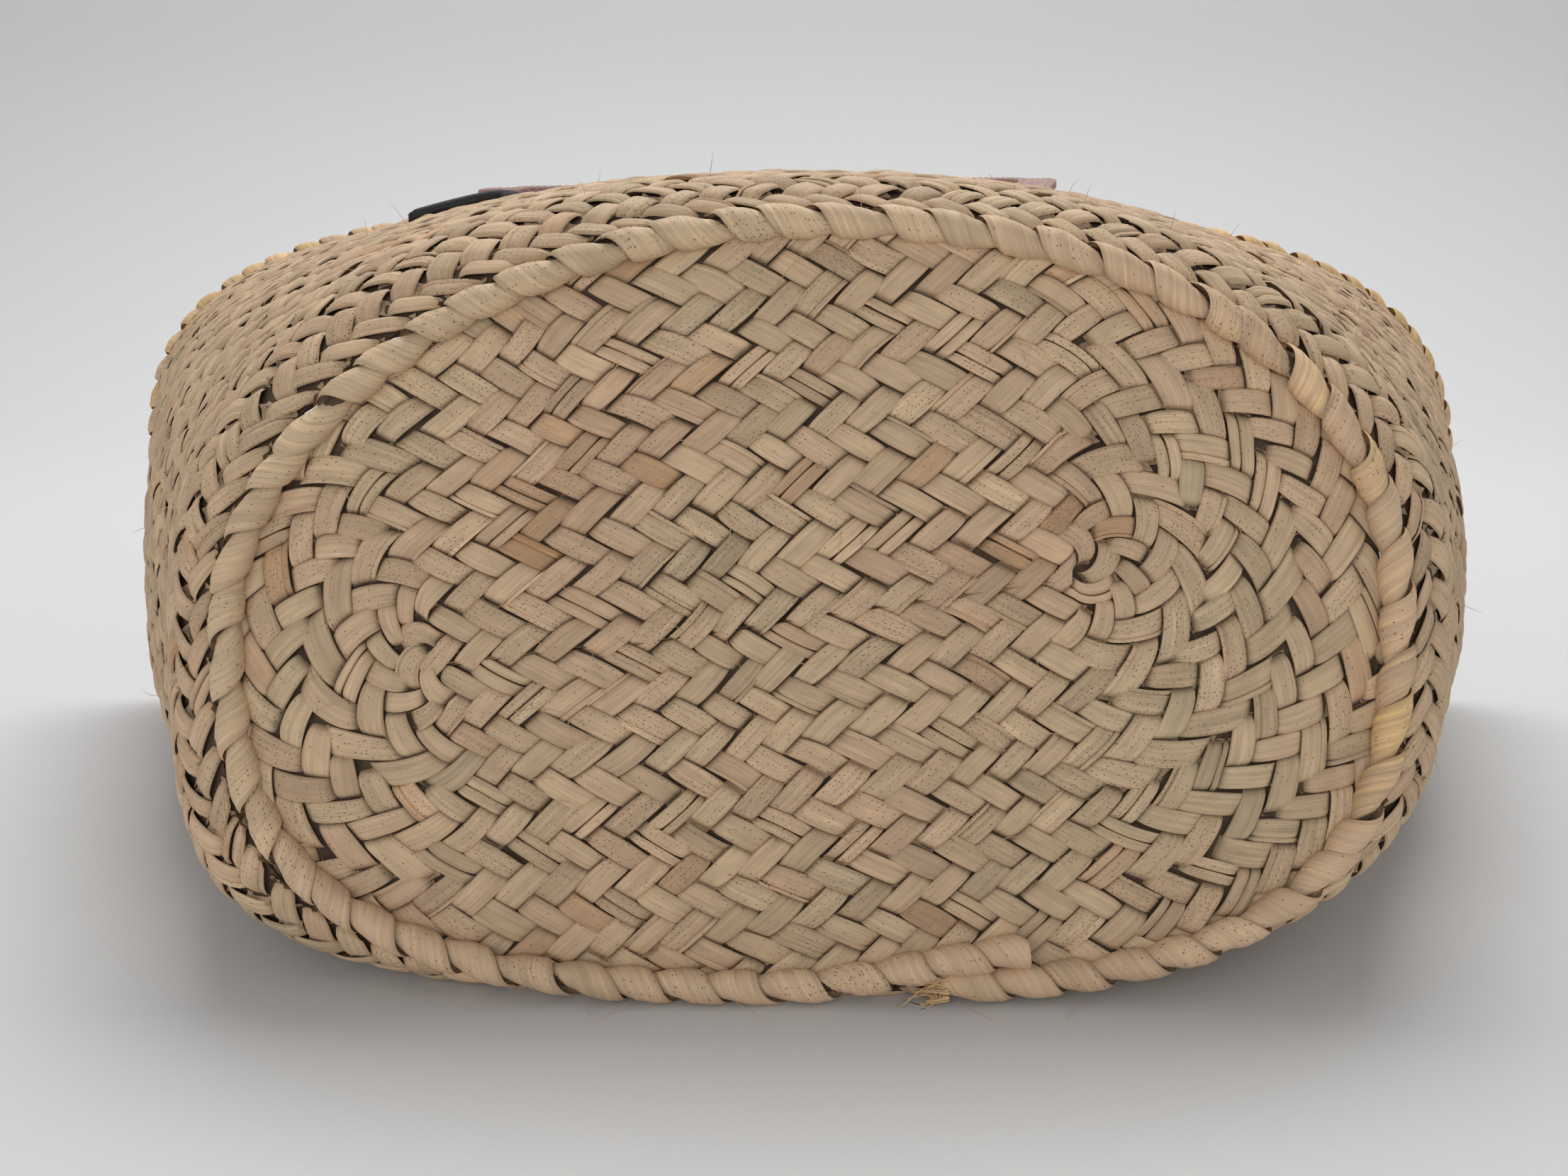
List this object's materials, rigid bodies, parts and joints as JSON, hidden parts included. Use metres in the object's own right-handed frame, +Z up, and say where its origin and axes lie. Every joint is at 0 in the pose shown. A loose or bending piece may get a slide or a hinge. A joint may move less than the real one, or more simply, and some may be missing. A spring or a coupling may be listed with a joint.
{
  "type": "straw basket bag",
  "caption": "Soft basket bag of plaited palm leaf lying on its back wall, oval base in a wound rope rim, wide open mouth and a short leather handle.",
  "frame": {"origin": "bottom centre of the whole bag as it lies on its back wall", "axes": "+X across the bag, +Y from the base to the open mouth, +Z up from the back wall to the front wall"},
  "size_m": [0.569, 0.3568, 0.229],
  "materials": {
    "plaited_straw": "matte",
    "rim_straw": "matte",
    "pink_leather": "satin",
    "black_leather": "satin",
    "rivet_steel": "polished"
  },
  "bodies": {
    "root": {"body_wall": "plaited_straw", "base_panel": "plaited_straw", "base_rim": "rim_straw", "mouth_rim": "rim_straw", "handle_strap": "pink_leather", "handle_tab_left": "black_leather", "handle_tab_right": "black_leather", "leather_patch": "black_leather", "rivet_left": "rivet_steel", "rivet_right": "rivet_steel"}
  },
  "joints": []
}
